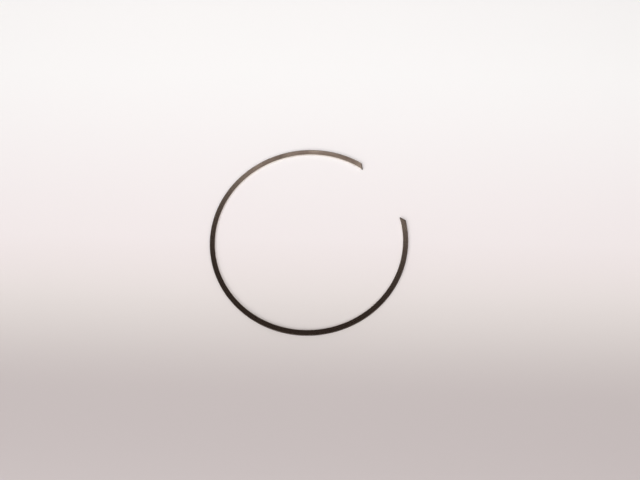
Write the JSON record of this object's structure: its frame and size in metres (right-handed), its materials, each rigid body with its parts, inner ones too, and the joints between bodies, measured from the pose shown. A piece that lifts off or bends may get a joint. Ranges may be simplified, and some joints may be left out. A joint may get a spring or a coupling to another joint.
{
  "type": "retaining ring",
  "caption": "Flat-wire snap ring: an open circle of dark spring steel with slanted ends that springs into a groove in a bore and holds a part in place.",
  "frame": {"origin": "on the ring's axis, in the plane of its lower face", "axes": "+Z along the ring's axis, away from the lower face; +X from the centre to the middle of the opening"},
  "size_m": [0.1104, 0.115, 0.0015],
  "materials": {
    "spring_steel": "satin"
  },
  "bodies": {
    "root": {"snap_ring": "spring_steel"}
  },
  "joints": []
}
